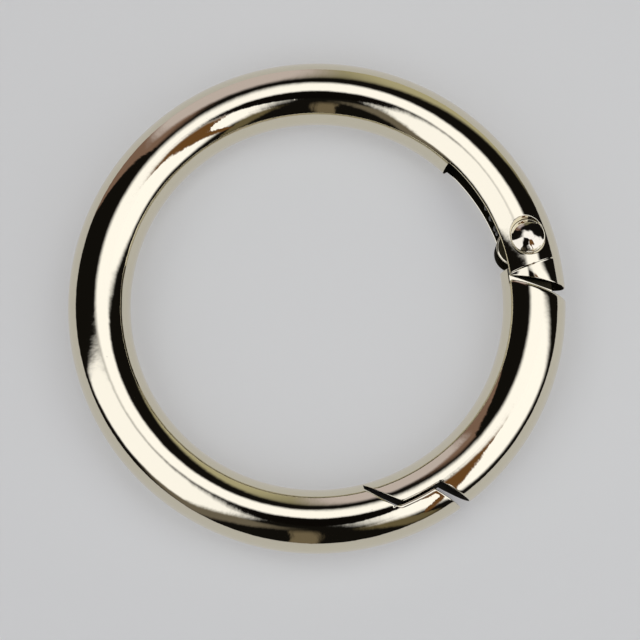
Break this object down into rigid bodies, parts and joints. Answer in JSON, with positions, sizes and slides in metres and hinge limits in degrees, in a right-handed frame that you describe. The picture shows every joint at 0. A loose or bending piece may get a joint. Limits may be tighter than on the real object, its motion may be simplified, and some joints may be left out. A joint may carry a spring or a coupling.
{
  "type": "spring gate ring",
  "caption": "Round cast ring with an inward-swinging sprung gate, a riveted fork hinge and a Z-shaped lap latch.",
  "frame": {"origin": "centre of the closed ring, on its mid plane", "axes": "+Z square to the ring's plane, +X towards the hinge side, +Y up the ring so that the hinge is above +X and the latch below it"},
  "size_m": [0.0508, 0.0508, 0.0064],
  "materials": {
    "plated_zinc": "polished pale-gold nickel plate on a zinc die casting",
    "plated_rivet": "polished nickel plate",
    "spring_wire": "drawn spring wire"
  },
  "bodies": {
    "ring": {"ring_body": "plated_zinc", "hinge_rivet": "plated_rivet", "gate_spring": "spring_wire"},
    "gate_arm": {"gate": "plated_zinc"}
  },
  "joints": [
    {"name": "gate_hinge", "type": "hinge", "parent": "ring", "child": "gate_arm", "pos_m": [0.02148, 0.00653, 0], "axis": [0, 0, -1], "range_deg": [0, 32], "stiffness_Nm_per_rad": 0.002, "springref_deg": -45.84, "deforming": ["gate_spring"]}
  ]
}
